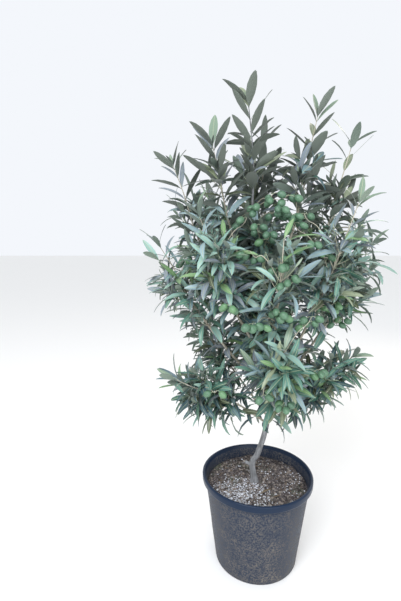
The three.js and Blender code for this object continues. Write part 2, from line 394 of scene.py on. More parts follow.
growth = {
    "sideStep": 16.5 * mm,  # between pairs of side shoots
    "heartStep": 8 * mm,  # and on the trunk
    "highStep": 34 * mm,  # and on shoots that end high, where sky shows through
    "stepSpread": (0.8, 1.25),  # times that, at random
    "sideFrom": 45 * mm,  # they start this far before the mass
    "sideUntil": 0.80,  # and end at this share of the main shoot
    "sideAngle": (34, 54),  # degrees off the main shoot
    "sideKept": 0.92,
    "sideTurn": 0.28,  # spread of the turn round the main shoot, in radians
    "sideGoal": (0.5, 0.6, 0.25),  # parts of onwards, up and outwards in its last heading
    "sideReach": (0.75, 1.1),  # times the next, at random
    "sideMost": 175 * mm,
    "sideLeast": 28 * mm,
    "sideFoot": 0.9 * mm,  # radius at the foot
    "sideStouter": 0.008,  # and so much more for its length
    "sideTip": 0.55 * mm,
    "tipMargin": 50 * mm,  # leaves fill the last stretch to the mass's face
    "mainMargin": 42 * mm,
    "upPull": 0.55,  # how far a side shoot turns up on its way
    "twigStep": 31 * mm,  # between finer twigs, and they start at 0.7 of it
    "twigsFrom": 1.6,  # steps of length that a side shoot needs to bear them
    "twigTurn": (0.4, 1.1),  # half turns from one to the next
    "twigLength": (34 * mm, 62 * mm),
    "twigKept": 0.85,
    "twigPull": 0.4,
    "twigRadii": (0.8 * mm, 0.5 * mm),
    "wander": 0.10,
    "wayStep": 6 * mm,  # between the points of a main shoot
    "shootStep": 9 * mm,  # and of a finer one
    "rays": (0.4, 0.3),  # how far side shoots and twigs look ahead for the mass's face
    "leavesBefore": (200 * mm, 220 * mm),  # where leaves start before a mass, and below the trunk's top
    "straightOn": 0.4,  # a bough keeps its heading over this share of the way through its mass
    "straightIn": 0.3,  # and follows the mass's axis over this one
    "forkDrop": 6 * mm,  # it leaves the trunk's middle line this far below its own foot
    "highTip": 1.3,  # shoots that end above this have the largest leaves
    "mainSize": (1.40, 1.22),  # leaf sizes on main shoots, high in the crown and elsewhere
    "sideSize": (1.24, 1.15),
    "twigSize": (1.04, 1.02),
    "leaderSize": 1.42,
}

shoots = []


def addShoot(way, foot, tip, massName, order, leafFrom=0.0, leafSize=1.0):
    # foot and tip are radii, and leaves start at the share leafFrom of the shoot
    shoots.append({"way": way, "foot": foot, "tip": tip, "mass": massName, "order": order,
                   "leafFrom": leafFrom, "leafSize": leafSize, "tint": rng.random()})


def massFrame(name, inner):
    # a CAD mass's longest direction away from the inner point, its tip, and a tree for ray tests
    points, triangles = nodeShape("foliage_" + name)
    middle = (points.min(0) + points.max(0)) / 2
    axis = np.linalg.svd(points - points.mean(0), full_matrices=False)[2][0]
    axis = axis * np.sign(axis @ (middle - inner))
    tip = points[np.argmax((points - middle) @ axis)]
    return {"name": name, "axis": axis, "tip": tip, "low": int(tip[2] < growth["highTip"]),
            "tree": BVHTree.FromPolygons(points.tolist(), triangles.tolist())}


def roomAhead(mass, start, way, most):
    # the distance from a point along a direction to where it leaves the mass for the last time
    past = 1e-4  # a step off each face that was hit
    at, gone, left = Vector(start), 0.0, 0.0
    while gone < most:
        hit, normal, _, distance = mass["tree"].ray_cast(at, Vector(way), most - gone)
        if hit is None:
            break
        gone += distance + past
        at = hit + Vector(way) * past
        if normal.dot(Vector(way)) > 0:
            left = gone
    return left


def curvedWay(start, heading, goal, length, pull):
    # even steps whose heading turns from the first direction towards the goal, with a little wander
    steps = max(4, int(length / growth["shootStep"]))
    share = np.linspace(0, 1, steps)[:, None]
    wander = growth["wander"] * rng.normal(0, 1, 3)
    headings = unit(heading * (1 - pull * share) + goal * pull * share + wander * share * (1 - share))
    return start + np.vstack([np.zeros(3), np.cumsum(headings[:-1] * length / (steps - 1), axis=0)])


def branchOff(frames, i, turn):
    # the heading of a shoot that leaves point i at a random angle, and the sideways direction it leans to
    tangents, side, other = frames
    lean = math.radians(rng.uniform(*growth["sideAngle"]))
    out = side[i] * math.cos(turn) + other[i] * math.sin(turn)
    return unit(tangents[i] * math.cos(lean) + out * math.sin(lean)), out


def growSides(way, mass, first, last, thick, step):
    # pairs of side shoots, each pair a quarter turn on from the last, cut to the room that the mass gives
    frames, along = waysFrames(way), alongWay(way)
    quarter = rng.uniform(0, np.pi)
    place = first
    while place < last:
        i = int(np.searchsorted(along, place).clip(1, len(way) - 1))
        for half in (0, np.pi):
            if rng.random() > growth["sideKept"]:
                continue
            heading, out = branchOff(frames, i, quarter + half + rng.normal(0, growth["sideTurn"]))
            onward, upward, outward = growth["sideGoal"]
            goal = unit(onward * frames[0][i] + upward * up + outward * out)
            aim = unit(heading + growth["upPull"] * 0.5 * goal)
            room = roomAhead(mass, way[i], aim, growth["rays"][0]) - growth["tipMargin"]
            length = min(room, growth["sideMost"] * rng.uniform(*growth["sideReach"]))
            if length < growth["sideLeast"]:
                continue
            sideWay = curvedWay(way[i], heading, goal, length, growth["upPull"])
            foot = min(thick, growth["sideFoot"] + length * growth["sideStouter"])
            size = growth["sideSize"][mass["low"]]
            addShoot(sideWay, foot, growth["sideTip"], mass["name"], 2, leafSize=size)
            if length > growth["twigsFrom"] * growth["twigStep"]:
                growTwigs(sideWay, mass)
        quarter += np.pi / 2
        place += step * rng.uniform(*growth["stepSpread"])


def growTwigs(way, mass):
    # short finer twigs that leave a side shoot one at a time, each where it has room
    frames, length = waysFrames(way), wayLength(way)
    turn = rng.uniform(0, 2 * np.pi)
    for place in np.arange(growth["twigStep"] * 0.7, length * 0.82, growth["twigStep"]):
        turn += np.pi * rng.uniform(*growth["twigTurn"])
        if rng.random() > growth["twigKept"]:
            continue
        i = int(place / length * (len(way) - 1))
        heading, _ = branchOff(frames, i, turn)
        room = roomAhead(mass, way[i], heading, growth["rays"][1]) - growth["tipMargin"] * 0.6
        size = min(room, rng.uniform(*growth["twigLength"]))
        if size > growth["sideLeast"] * 0.6:
            goal = unit(frames[0][i] + up * 0.6)
            twigWay = curvedWay(way[i], heading, goal, size, growth["twigPull"])
            addShoot(twigWay, *growth["twigRadii"], mass["name"], 3, leafSize=growth["twigSize"][mass["low"]])


# each bough's main shoot leaves the trunk, follows the CAD limb and runs on through its mass to near the tip
boughLimbs = {}
for name in sprayNames:
    middles, radii = limbWay("bough_" + name, 9)
    mass = massFrame(name, middles[0])
    enter = middles[-1]
    end = mass["tip"] - mass["axis"] * growth["mainMargin"]
    reach = np.linalg.norm(end - enter)
    bend = enter + unit(enter - middles[-3]) * reach * growth["straightOn"]
    pull = end - mass["axis"] * reach * growth["straightIn"]
    fork = trunkMiddles[np.argmin(np.abs(trunkMiddles[:, 2] - (middles[0][2] - growth["forkDrop"])))]
    limb = np.vstack([fork + (middles[0] - fork) * 0.25, middles])
    way = throughPoints(np.vstack([limb, (enter + 2 * bend + pull) / 4, pull, end]), growth["wayStep"])
    enterAt = wayLength(throughPoints(limb, growth["wayStep"]))
    length = wayLength(way)
    stations = [0, enterAt * 0.5, enterAt, length]
    stoutness = [radii[0] * 1.05, radii[4], radii[-1], 0.9 * mm]
    boughLimbs[name] = (way, np.interp(np.linspace(0, length, len(way)), stations, stoutness))
    size = growth["mainSize"][mass["low"]]
    leafFrom = (enterAt - growth["leavesBefore"][0]) / length
    addShoot(way, radii[0], 0.7 * mm, name, 1, leafFrom, size)
    step = growth["sideStep"] if mass["low"] else growth["highStep"]
    growSides(way, mass, enterAt - growth["sideFrom"], length * growth["sideUntil"], 2 * mm, step)

# the trunk's way runs on to the top as the leading shoot
leaderMass = massFrame("leader", trunkMiddles[0])
leaderEnd = leaderMass["tip"] - leaderMass["axis"] * growth["mainMargin"]
leaderBend = (trunkMiddles[-1] + leaderEnd) / 2 + np.array([8, -4, 0]) * mm
trunkFoot = trunkMiddles[0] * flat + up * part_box("trunk")[0].z
trunkWay = throughPoints(np.vstack([trunkFoot, trunkMiddles[1:], leaderBend, leaderEnd]), 3 * mm)
trunkTop = trunkMiddles[-1][2]
trunkLength = wayLength(trunkWay)


def trunkPlace(height):
    # the distance along the trunk's way at a height, as its steps are even and it only rises
    return trunkLength * np.searchsorted(trunkWay[:, 2], height) / len(trunkWay)


leafFrom = (trunkTop - growth["leavesBefore"][1]) / leaderEnd[2]
addShoot(trunkWay, trunkRadii[-1], 0.8 * mm, "leader", 1, leafFrom, growth["leaderSize"])
first, last = trunkPlace(trunkTop - 20 * mm), trunkPlace(leaderEnd[2] - 100 * mm)
growSides(trunkWay, leaderMass, first, last, 1.6 * mm, growth["highStep"])
for name in ("upper_heart", "lower_heart"):
    lowest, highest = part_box("foliage_" + name)
    first, last = trunkPlace(lowest.z - 20 * mm), trunkPlace(highest.z - 30 * mm)
    growSides(trunkWay, massFrame(name, trunkMiddles[0]), first, last, 2 * mm, growth["heartStep"])
print("stage: grown,", len(shoots), "shoots")


# leaves

# x, y, z in mm of the middle of each cluster of fruit, in front where the photo shows it, and how many hang
# in it; leaves keep clear of them
fruitClusters = [
    (-5, -122, 1164, 4), (30, -116, 1162, 3), (-44, -128, 1130, 3), (10, -130, 1128, 5),
    (50, -122, 1121, 4), (-74, -132, 1096, 3), (102, -118, 1108, 3), (74, -128, 1083, 3),
    (-34, -132, 1079, 4), (-6, -136, 1060, 4), (14, -205, 990, 5), (32, -210, 948, 4),
    (-50, -210, 1014, 4), (75, -195, 1034, 3), (140, -160, 1010, 3), (205, -95, 965, 3),
    (-110, -205, 888, 5), (-46, -215, 842, 5), (4, -210, 866, 6), (95, -185, 838, 5),
    (165, -125, 868, 6), (215, -60, 812, 4), (-20, -205, 652, 4), (38, -195, 622, 5),
    (120, -145, 690, 4), (-150, -165, 640, 2), (90, 150, 1120, 5), (-110, 150, 1060, 5),
    (0, 190, 960, 5), (180, 110, 930, 4), (-190, 90, 900, 4), (-60, 160, 760, 4),
    (120, 130, 720, 3), (-230, -40, 980, 3),
]
leaf = {
    "clear": 36 * mm,  # no leaf's middle comes nearer to the open side of hanging fruit
    "clearReach": 150 * mm,
    "past": (24 * mm, 18 * mm, 42 * mm),  # nor does a tip reach further beyond the frame's box
    "length": (60 * mm, 84 * mm),
    "slender": (4.5, 5.8),  # length over width
    "highBroad": 1.34,  # leaves of the highest shoots are so much broader
    "highStiff": 0.55,  # and bend so much less
    "highFrom": 1.16,  # the height where those shoots end, at least
    "step": 24 * mm,  # between pairs
    "gaps": (1.12, 0.72),  # times that, from the foot of a shoot to its tip
    "lastPairs": (15 * mm, 3 * mm, 1 * mm),  # short of the tip
    "bareTip": 24 * mm,  # the even pairs end here
    "kept": 0.95,
    "turnSpread": 0.2,  # radians round the shoot
    "openSpread": 0.15,  # radians off it
    "faceSpread": 0.12,
    "budOpen": 0.45,  # the youngest are so much less open
    "toneSpread": 0.35,
    "openAtFoot": 62,  # degrees off the shoot
    "openAtTip": 29,
    "lift": 0.45,  # how far the upper side turns to the sky
    "bend": (0.10, 1.05),  # radians from stalk to tip, of the youngest
    "sag": 0.70,  # and more of it in the oldest
    "fold": (10, 28),  # degrees, each half up from the midrib
    "rolledEdge": 18,  # how fast a wide blade's edges turn down again
    "twist": 0.55,
    "ribWidth": 0.55 * mm,
    "ribHeight": 0.1 * mm,
    "thick": 0.45 * mm,
    "tipTaper": 0.1,  # leaves near a shoot's tip are smaller
    "bud": 0.38,  # length of the two youngest leaves, as a share of a full one
    "paintedLightHeights": (0.66, 0.80, 1.10, 1.18),  # painted light and shade: the middle of the crown is paler and its foot darker
    "paintedLightShifts": (-0.25, 0.16, 0.16, 0.0),
    "toneOfShoot": 0.59,  # how much of a leaf's tone comes from its spray
    "toneOfPlace": 0.49,  # and how much from its place along the shoot
    "freshShoots": 0.86,  # shoots with a tint above this end in fresh leaves
    "freshFrom": (0.97, 0.8),  # young leaves start at this share of other shoots and of fresh ones
    "gloss": 0.38,  # roughness of the upper side
    "felt": 0.75,  # and of the underside
    "wax": (0.6 * mm, 0.1 * mm, 0.15, 2.0),  # grain: size, depth, strength and detail
    # places from stalk to tip, and half the blade's width there as a share of its widest
    "stations": (0, 0.07, 0.20, 0.40, 0.62, 0.83, 0.95, 1.0),
    "outline": (0.09, 0.12, 0.60, 0.96, 0.97, 0.66, 0.30, 0.03),
    # tones from dark to pale of the families of sprays: sea-green, blue-green, olive and a greyer one
    "tops": {
        "sea": ("#3d6053", "#5c8274", "#80a095"),
        "blue": ("#435c62", "#627c80", "#82989c"),
        "olive": ("#4d5541", "#6a745a", "#848e74"),
        "grey": ("#4c5459", "#656f78", "#7b858d"),
    },
    "shares": ((0.44, 0.28, 0.12, 0.16), (0.12, 0.12, 0.32, 0.44)),  # of them, low and on the highest shoots
    "young": ("#738673", "#729366"),  # at the tips of most shoots and on the freshest
    "shadedUnders": ("#636b62", "#6f7c71", "#818f80"),  # of high sprays, of both, and of low ones; darkened by painted shade, most on high sprays
    "midrib": "#98a084",
}

# live olive leaf: the waxed, leathery upper side has a dull gloss and fine pits, the midrib is a paler line,
# and the felted underside scatters silvery light, though its colours are darkened by painted shade
leafMaterials = []
for family, colours in {**leaf["tops"], "young": leaf["young"]}.items():
    leafMaterials += plainMaterials(family + "LeafTop", colours, leaf["gloss"], leaf["wax"])
topCount = len(leafMaterials)
sheen = {"Sheen Weight": 0.25, "Sheen Roughness": 0.4}
leafMaterials += plainMaterials("feltedLeafUnderside", leaf["shadedUnders"], leaf["felt"], leaf["wax"], sheen)
leafMaterials += [plainMaterial("leafMidrib", leaf["midrib"], 0.5, leaf["wax"])]


def awayFromFruit(middles):
    # whether each leaf's middle is clear of the level lines from the clusters outwards
    hung = np.array([cluster[:3] for cluster in fruitClusters]) * mm
    out = unit(hung * flat)
    offset = middles[:, None] - hung
    ahead = np.clip((offset * out).sum(-1), 0, leaf["clearReach"])
    aside = np.linalg.norm(offset - out * ahead[..., None], axis=-1)
    return (aside > leaf["clear"]).all(1)


def insideLimits(tips):
    # whether each tip stays within the frame's box and the margin past it
    lowest, highest = (np.array(end) for end in cadBox)
    return ((tips > lowest - leaf["past"]) & (tips < highest + leaf["past"])).all(1)


def placeLeaves(shoot):
    # opposite pairs along a shoot, each a quarter turn on from the last, less open towards its tip
    way, length = shoot["way"], wayLength(shoot["way"])
    first = max(shoot["leafFrom"], 0) * length + leaf["step"] * 0.55
    gaps = leaf["step"] * np.linspace(*leaf["gaps"], 60) * shoot["leafSize"]
    places = first + np.cumsum(gaps) - gaps[0]
    places = places[places < length - leaf["bareTip"]]
    places = np.concatenate([places, length - np.array(leaf["lastPairs"])])
    at, tangents = sampleWay(way, places)
    side, other = squareTo(tangents)
    pairs, count = len(places), len(places) * 2
    share = np.clip((np.maximum(places, 2 * mm) - first) / max(length - first, 1e-6), 0, 1)
    at, tangents, side, other, share = (np.repeat(v, 2, axis=0) for v in (at, tangents, side, other, share))
    turn = rng.uniform(0, np.pi) + np.arange(pairs) * np.pi / 2
    turn = np.stack([turn, turn + np.pi], 1).ravel() + rng.normal(0, leaf["turnSpread"], count)
    fromTip = np.arange(count, 0, -1)
    bud = fromTip <= 2
    out = side * np.cos(turn)[:, None] + other * np.sin(turn)[:, None]
    opening = np.radians(leaf["openAtFoot"] + (leaf["openAtTip"] - leaf["openAtFoot"]) * share ** 1.3)
    opening = (opening + rng.normal(0, leaf["openSpread"], count)) * np.where(bud, leaf["budOpen"], 1)
    opening = opening[:, None]
    along = unit(tangents * np.cos(opening) + out * np.sin(opening))
    face = tangents * np.sin(opening) - out * np.cos(opening) + up * leaf["lift"]
    face = squared(face + rng.normal(0, leaf["faceSpread"], face.shape), along)
    size = rng.uniform(*leaf["length"], count) * shoot["leafSize"]
    size = size * (1 - leaf["tipTaper"] * share ** 3) * np.where(bud, leaf["bud"], 1)
    kept = (rng.random(count) < leaf["kept"]) | (fromTip <= 4)
    tips = at + along * size[:, None]
    kept &= awayFromFruit((at + tips) / 2) & insideLimits(tips)

    # the spray's tint decides its family, and with the place and the height its tone; the height's part is
    # painted light in the middle of the crown and painted shade at its foot
    high = way[-1][2] > leaf["highFrom"]
    tone = leaf["toneOfShoot"] * shoot["tint"] + leaf["toneOfPlace"] * share
    # painted light and shade: leaves in the middle of the crown are made paler, and those at its foot darker
    tone = tone + np.interp(way[-1][2], leaf["paintedLightHeights"], leaf["paintedLightShifts"])
    tint = np.clip(np.floor(tone * 3 + rng.normal(0, leaf["toneSpread"], count)), 0, 2)
    tint = tint + 3 * np.searchsorted(np.cumsum(leaf["shares"][int(high)]), shoot["tint"] * 17 % 1)
    fresh = int(not high and shoot["tint"] > leaf["freshShoots"])
    tint = np.where(bud | (share > leaf["freshFrom"][fresh]), topCount - 2 + fresh, tint)
    # painted shade: high sprays take the two darker underside colours, low ones the two paler
    under = topCount + int(shoot["tint"] * 7) % 2 + (not high)
    leaves = {"at": at, "along": along, "face": face, "size": size, "share": share, "top": tint.astype(int),
              "high": np.full(count, high), "under": np.full(count, under)}
    return {key: values[kept] for key, values in leaves.items()}


def leafPoints(leaves):
    # five points round each station: two edges, two sides of the midrib and the keel, bent along an arc
    count = len(leaves["size"])
    size = leaves["size"][:, None]
    high = leaves["high"][:, None]
    stations = np.array(leaf["stations"])
    width = size / rng.uniform(*leaf["slender"], (count, 1)) / 2 * np.array(leaf["outline"])
    width = width * np.where(high, leaf["highBroad"], 1)
    rib = np.minimum(leaf["ribWidth"], width * 0.5)
    ribTop = np.full_like(width, leaf["ribHeight"])
    fold = np.tan(np.radians(rng.uniform(*leaf["fold"], (count, 1))))
    lift = width * fold - width ** 2 * leaf["rolledEdge"]
    across = np.stack([width, rib, -rib, -width, np.zeros_like(width)], -1)
    raised = np.stack([lift, ribTop, ribTop, lift, -np.minimum(leaf["thick"], width)], -1)
    roll = rng.normal(0, leaf["twist"] * 0.5, (count, 1, 1)) * stations[:, None]
    cosine, sine = np.cos(roll), np.sin(roll)
    across, raised = across * cosine - raised * sine, across * sine + raised * cosine
    bend = rng.uniform(*leaf["bend"], (count, 1)) + leaf["sag"] * (1 - leaves["share"][:, None])
    bend = bend * np.where(high, leaf["highStiff"], 1)
    angle = bend * stations
    ahead = (size * np.sin(angle) / bend)[..., None] + raised * np.sin(angle)[..., None]
    rise = (-size * (1 - np.cos(angle)) / bend)[..., None] + raised * np.cos(angle)[..., None]
    along, face = leaves["along"], leaves["face"]
    parts = ((ahead, along), (across, np.cross(face, along)), (rise, face))
    return leaves["at"][:, None, None] + sum(part[..., None] * axis[:, None, None] for part, axis in parts)


def leafPiece(name, leaves, materials, rib):
    # many leaves as one mesh: triangles whose diagonals start at the edge above and below alike, so that no
    # two of them cross, and a slot for each by its place round the leaf
    points = leafPoints(leaves)
    count, rings, sides = points.shape[:3]
    corners = np.array([(0, 1, 6), (0, 6, 5), (1, 2, 7), (1, 7, 6), (2, 3, 7), (3, 8, 7),
                        (3, 4, 9), (3, 9, 8), (4, 0, 9), (0, 5, 9)])
    one = (np.arange(rings - 1)[:, None, None] * sides + corners).reshape(-1, 3)
    blades = (one + (np.arange(count) * rings * sides)[:, None, None]).reshape(-1, 3)
    top, under, rib = leaves["top"], leaves["under"], np.full(count, rib)
    around = np.stack([top, top, rib, rib, top, top, under, under, under, under], 1)
    slots = np.concatenate([np.tile(around, (1, rings - 1)).ravel(), top, top])
    faces = [blades] + tubeFaces(count, rings, sides)[1:]
    return newPiece(name, points, faces, materials, slots, sharpAbove=75)


leavesByMass = {name: [] for name in massNames}
for shoot in shoots:
    leavesByMass[shoot["mass"]].append(placeLeaves(shoot))
leafCount = 0
for name, parts in leavesByMass.items():
    leaves = {key: np.concatenate([part[key] for part in parts]) for key in parts[0]}
    piece = leafPiece("leaves_" + name, leaves, leafMaterials, len(leafMaterials) - 1)
    handOver(piece, "foliage", "foliage_" + name)
    leafCount += len(leaves["size"])
print("stage: leaves,", leafCount)


# twigs

twig = {
    "sides": 5, "stations": 8,
    "oldColour": "#b3ae9b", "youngColour": "#a0aa8c",
    "youngFrom": 0.55,  # of a side shoot's length; finer twigs are young all along
    "grain": (1.2 * mm, 0.2 * mm, 0.4, 3.0),
}
# first-year bark: smooth and matt, with a fine grain, grey-beige at the foot and still green at the tip
twigMaterials = [plainMaterial("firstYearBark", twig["oldColour"], 0.7, twig["grain"]),
                 plainMaterial("greenShoot", twig["youngColour"], 0.7, twig["grain"])]

sideShoots = [s for s in shoots if s["order"] > 1]
ways = np.stack([inStations(s["way"], twig["stations"]) for s in sideShoots])
share = np.linspace(0, 1, twig["stations"])
feet, tips = (np.array([s[end] for s in sideShoots])[:, None] for end in ("foot", "tip"))
young = np.array([s["order"] == 3 for s in sideShoots])
ringSlots = (share[:-1] > twig["youngFrom"])[:, None] | young[:, None, None]
ringSlots = np.broadcast_to(ringSlots, (len(ways), twig["stations"] - 1, twig["sides"]))
slots = np.concatenate([ringSlots.ravel(), young, np.ones(len(ways), bool)])
rings = tubePoints(ways, feet + (tips - feet) * share, twig["sides"])
handOver(newTubes("twigs", rings, twigMaterials, slots), "bark")
print("stage: twigs,", len(ways))


# bark of the trunk and boughs

bark = {
    "trunkColours": ("#535455", "#757677", "#969799"),  # dark, middle and pale
    # partly painted light: the boughs' bark is paler than the trunk's, as young bark is, and is also lifted
    # out of the crown's shade
    "boughColours": ("#8a8474", "#aaa493", "#c4beae"),
    "lenticel": "#a9a69b",
    "cutWood": "#9a8f7c",
    "cutGrain": (0.8 * mm, 0.16 * mm, 0.5, 3.0),
    "trunkSides": 26,
    "boughSides": 12,
    "relief": 0.05,  # of the radius
    "nodeStep": 31 * mm,  # between old leaf scars
    "nodeSwell": 0.10,
    "flare": (5.0 * mm, 22 * mm),  # added at the soil, and the height over which it fades
    "flareLobes": 3,
    "sunk": 5 * mm,  # of the foot under the loose soil
    "stub": {"height": 0.322, "bearing": 180, "length": 27 * mm, "climb": 12 * mm, "radius": 4.2 * mm},
}


def barkMaterial(name, colours):
    # young olive bark: thin and matt, mottled over some 12 mm and drawn out upwards, with pale raised
    # lenticels about 1 mm across
    material, tree, place = newMaterial(name)
    stretched = addNode(tree, "Mapping", {"Scale": (1, 1, 0.3), "Vector": place})
    mottle = addNode(tree, "TexNoise", {
        "Scale": 1 / (12 * mm), "Detail": 6.0, "Roughness": 0.6, "Vector": stretched})
    ramp = addNode(tree, "ValToRGB", {"Fac": mottle, "stops": list(zip((0.3, 0.5, 0.72), colours))})
    dots = addNode(tree, "TexVoronoi", {"Scale": 1 / (8 * mm), "Vector": place})
    dotRamp = addNode(tree, "ValToRGB", {"Fac": dots, "stops": [(0.07, "#ffffff"), (0.15, "#000000")]})
    colour = addNode(tree, "Mix", {
        "data_type": "RGBA", 0: dotRamp, 6: ramp, 7: linearColour(bark["lenticel"])}).outputs[2]
    fine = addNode(tree, "TexNoise", {"Scale": 1 / (1.5 * mm), "Detail": 5.0, "Vector": stretched})
    bump = addNode(tree, "Bump", {"Strength": 0.6, "Distance": 0.5 * mm, "Height": fine})
    bump = addNode(tree, "Bump", {"Strength": 0.5, "Distance": 0.4 * mm, "Height": dotRamp, "Normal": bump})
    return shadeMaterial(material, {"Base Color": colour, "Roughness": 0.82, "IOR": 1.45, "Normal": bump})


def barkTube(way, radii, sides, seed):
    # radius times one plus noise stretched along the limb, with a low ring at each old leaf scar
    along = np.linspace(0, wayLength(way), len(way))
    turn = anglesRound(sides)
    surface = aroundAxis(turn, 9 * mm, along[:, None] * 0.4)
    rough = smoothNoise(surface, 7 * mm, seed) + 0.6 * smoothNoise(surface, 3 * mm, seed + 1)
    uneven = smoothNoise(along[:, None] * np.array([1, 0, 0]), 60 * mm, seed)
    phase = along / bark["nodeStep"] + 0.3 * uneven
    scar = np.exp(-((phase % 1 - 0.5) * 9) ** 2)
    quarter = np.floor(phase) * np.pi / 2
    ears = np.maximum(0, np.cos(2 * (turn[None] - quarter[:, None]))) ** 3
    swell = bark["nodeSwell"] * scar[:, None] * (0.35 + ears)
    grown = radii[:, None] * (1 + bark["relief"] * rough + swell * np.minimum(1, 5 * mm / radii)[:, None])
    return tubePoints(way, grown, sides)


trunkSkin = barkMaterial("greyTrunkBark", bark["trunkColours"])
boughSkin = barkMaterial("beigeBoughBark", bark["boughColours"])
trunkAlong = np.linspace(0, trunkLength, len(trunkWay))
heights, stoutness = np.append(trunkMiddles[2:, 2], leaderEnd[2]), np.append(trunkRadii[2:], 0.9 * mm)
trunkThick = np.interp(trunkWay[:, 2], heights, stoutness)
trunkPoints = barkTube(trunkWay, trunkThick, bark["trunkSides"], 5)
outwards = trunkPoints - trunkWay[:, None]
lobes = 1 + 0.35 * np.cos(bark["flareLobes"] * np.arctan2(outwards[..., 1], outwards[..., 0]) + 0.8)
flare = bark["flare"][0] * np.exp(-trunkAlong / bark["flare"][1])
trunkPoints = trunkPoints + unit(outwards) * flare[:, None, None] * lobes[..., None]
trunkPoints[0, :, 2] = trunkWay[0, 2] - bark["sunk"]
handOver(newTubes("trunk_bark", trunkPoints, [trunkSkin], sharpAbove=60), "bark", "trunk")

# the pruned stub ends in dry cut wood, dull and greyed by weather
cutWood = plainMaterial("weatheredCutWood", bark["cutWood"], 0.85, bark["cutGrain"])
stub = bark["stub"]
stubFoot = sampleWay(trunkWay, [trunkPlace(stub["height"])])[0][0]
stubOut = aroundAxis(math.radians(stub["bearing"]), stub["length"], stub["climb"])
stubWay = np.vstack([stubFoot, stubFoot + stubOut * 0.5 - up * 1 * mm, stubFoot + stubOut])
stubWay = evenSteps(stubWay, 2.5 * mm)
stubPoints = barkTube(stubWay, np.linspace(1.7, 1, len(stubWay)) * stub["radius"], bark["boughSides"], 9)
slots = np.append(np.zeros((len(stubWay) - 1) * bark["boughSides"] + 1, int), 1)  # the cut is the last face
handOver(newTubes("pruned_stub", stubPoints, [trunkSkin, cutWood], slots, sharpAbove=50), "bark")

for i, (name, (way, radii)) in enumerate(boughLimbs.items()):
    boughPoints = barkTube(way, radii, bark["boughSides"], 20 + i)
    handOver(newTubes("bark_" + name, boughPoints, [boughSkin], sharpAbove=60), "bark", "bough_" + name)
print("stage: bark")


# fruit

fruit = {
    "length": (23 * mm, 26.5 * mm),
    "slender": (1.14, 1.42),  # length over width
    "rings": 11, "sides": 14,
    "stalk": (7 * mm, 15 * mm),
    "stalkRadius": 0.7 * mm,
    "stalkSag": 2 * mm,
    "twigRadii": (1.4 * mm, 0.8 * mm),
    "step": 13 * mm,  # between the fruiting nodes of a twig
    "crest": 12 * mm,  # how far the twig rises on its way
    "past": 18 * mm,  # how far it ends beyond the cluster's middle
    "hang": 0.35,  # how much a stalk heads down
    "lean": 0.35,  # and how much away from the trunk
    "apart": 0.8 * mm,  # added to each fruit's radius where they push each other
    "colours": ["#3b5745", "#46654d", "#597d55"],
    "paintedLightBelow": 1.05, "shades": (1.7, 0.9),  # the colour, from 0 to 2, below that height and above it; painted light pales the lower fruit, painted shade darkens the higher
    "paler": "#749c7d",
    "dots": "#98ab88",
}


def skinMaterial(name, colour):
    # unripe olive skin: smooth and waxy with a soft gloss, paler in clouds, and pale dots 0.5 mm across
    material, tree, place = newMaterial(name)
    dots = addNode(tree, "TexVoronoi", {"Scale": 1 / (2.2 * mm), "Vector": place})
    dotRamp = addNode(tree, "ValToRGB", {"Fac": dots, "stops": [(0.10, fruit["dots"]), (0.18, colour)]})
    cloud = addNode(tree, "TexNoise", {"Scale": 1 / (9 * mm), "Detail": 2.0, "Vector": place})
    part = addNode(tree, "Math", {"operation": "MULTIPLY", 0: cloud, 1: 0.4})
    mix = addNode(tree, "Mix", {"data_type": "RGBA", 0: part, 6: dotRamp, 7: linearColour(fruit["paler"])})
    return shadeMaterial(material, {"Base Color": mix.outputs[2], "Roughness": 0.38, "IOR": 1.45})


# points of the stouter shoots; a fruiting twig leaves the nearest, counted from below so that it can rise
fruitWood = np.concatenate([s["way"][:-3] for s in shoots if s["order"] < 3 and s["foot"] >= 1.0 * mm])


def growFruit(cluster):
    # a thin twig arches through the cluster's middle, and fruit hang from its nodes on stalks
    target, count = np.array(cluster[:3]) * mm, cluster[3]
    foot = fruitWood[np.argmin(np.linalg.norm(fruitWood + up * 30 * mm - target, axis=1))]
    middle = foot + (target - foot) * 0.6 + up * fruit["crest"]
    end = target + unit(target - foot + up * 20 * mm) * fruit["past"] + up * 4 * mm
    way = throughPoints(np.vstack([foot, middle, target, end]), 4 * mm)
    length = wayLength(way)
    nodes = length - np.arange(0, max(2, count // 2 + 1)) * fruit["step"]
    at, _ = sampleWay(way, np.maximum(nodes, 0.15 * length))
    turn = rng.uniform(0, 2 * np.pi, count)
    heading = unit(aroundAxis(turn, 1, -fruit["hang"]) + fruit["lean"] * unit(target * flat))
    return way, at[np.arange(count) % len(nodes)], heading, rng.uniform(*fruit["stalk"], count)


def pushedApart(centres, radius, roots, reach):
    # each pair that is too near is pushed apart by half of what it lacks, and each fruit held to its reach
    for _ in range(60):
        apart = centres[:, None] - centres[None]
        gap = np.linalg.norm(apart, axis=-1) + np.eye(len(centres))
        lack = np.maximum(radius[:, None] + radius[None] - gap, 0) * (1 - np.eye(len(centres)))
        centres = centres + (apart / gap[..., None] * lack[..., None]).sum(1) * 0.5
        out = centres - roots
        far = np.linalg.norm(out, axis=1, keepdims=True)
        centres = roots + out / far * np.clip(far, reach[:, None] * 0.9, reach[:, None] * 1.5)
    return centres


fruitTwigs, roots, headings, stalks = zip(*(growFruit(cluster) for cluster in fruitClusters))
roots, headings, stalks = (np.concatenate(parts) for parts in (roots, headings, stalks))
fruitCount = len(roots)
fruitSize = rng.uniform(*fruit["length"], fruitCount)
fruitWide = fruitSize / rng.uniform(*fruit["slender"], fruitCount)
reach = stalks + fruitSize / 2
fruitMiddles = pushedApart(roots + headings * reach[:, None], fruitWide / 2 + fruit["apart"], roots, reach)
fruitAxes = unit(fruitMiddles - roots - up * 0.25 * reach[:, None])

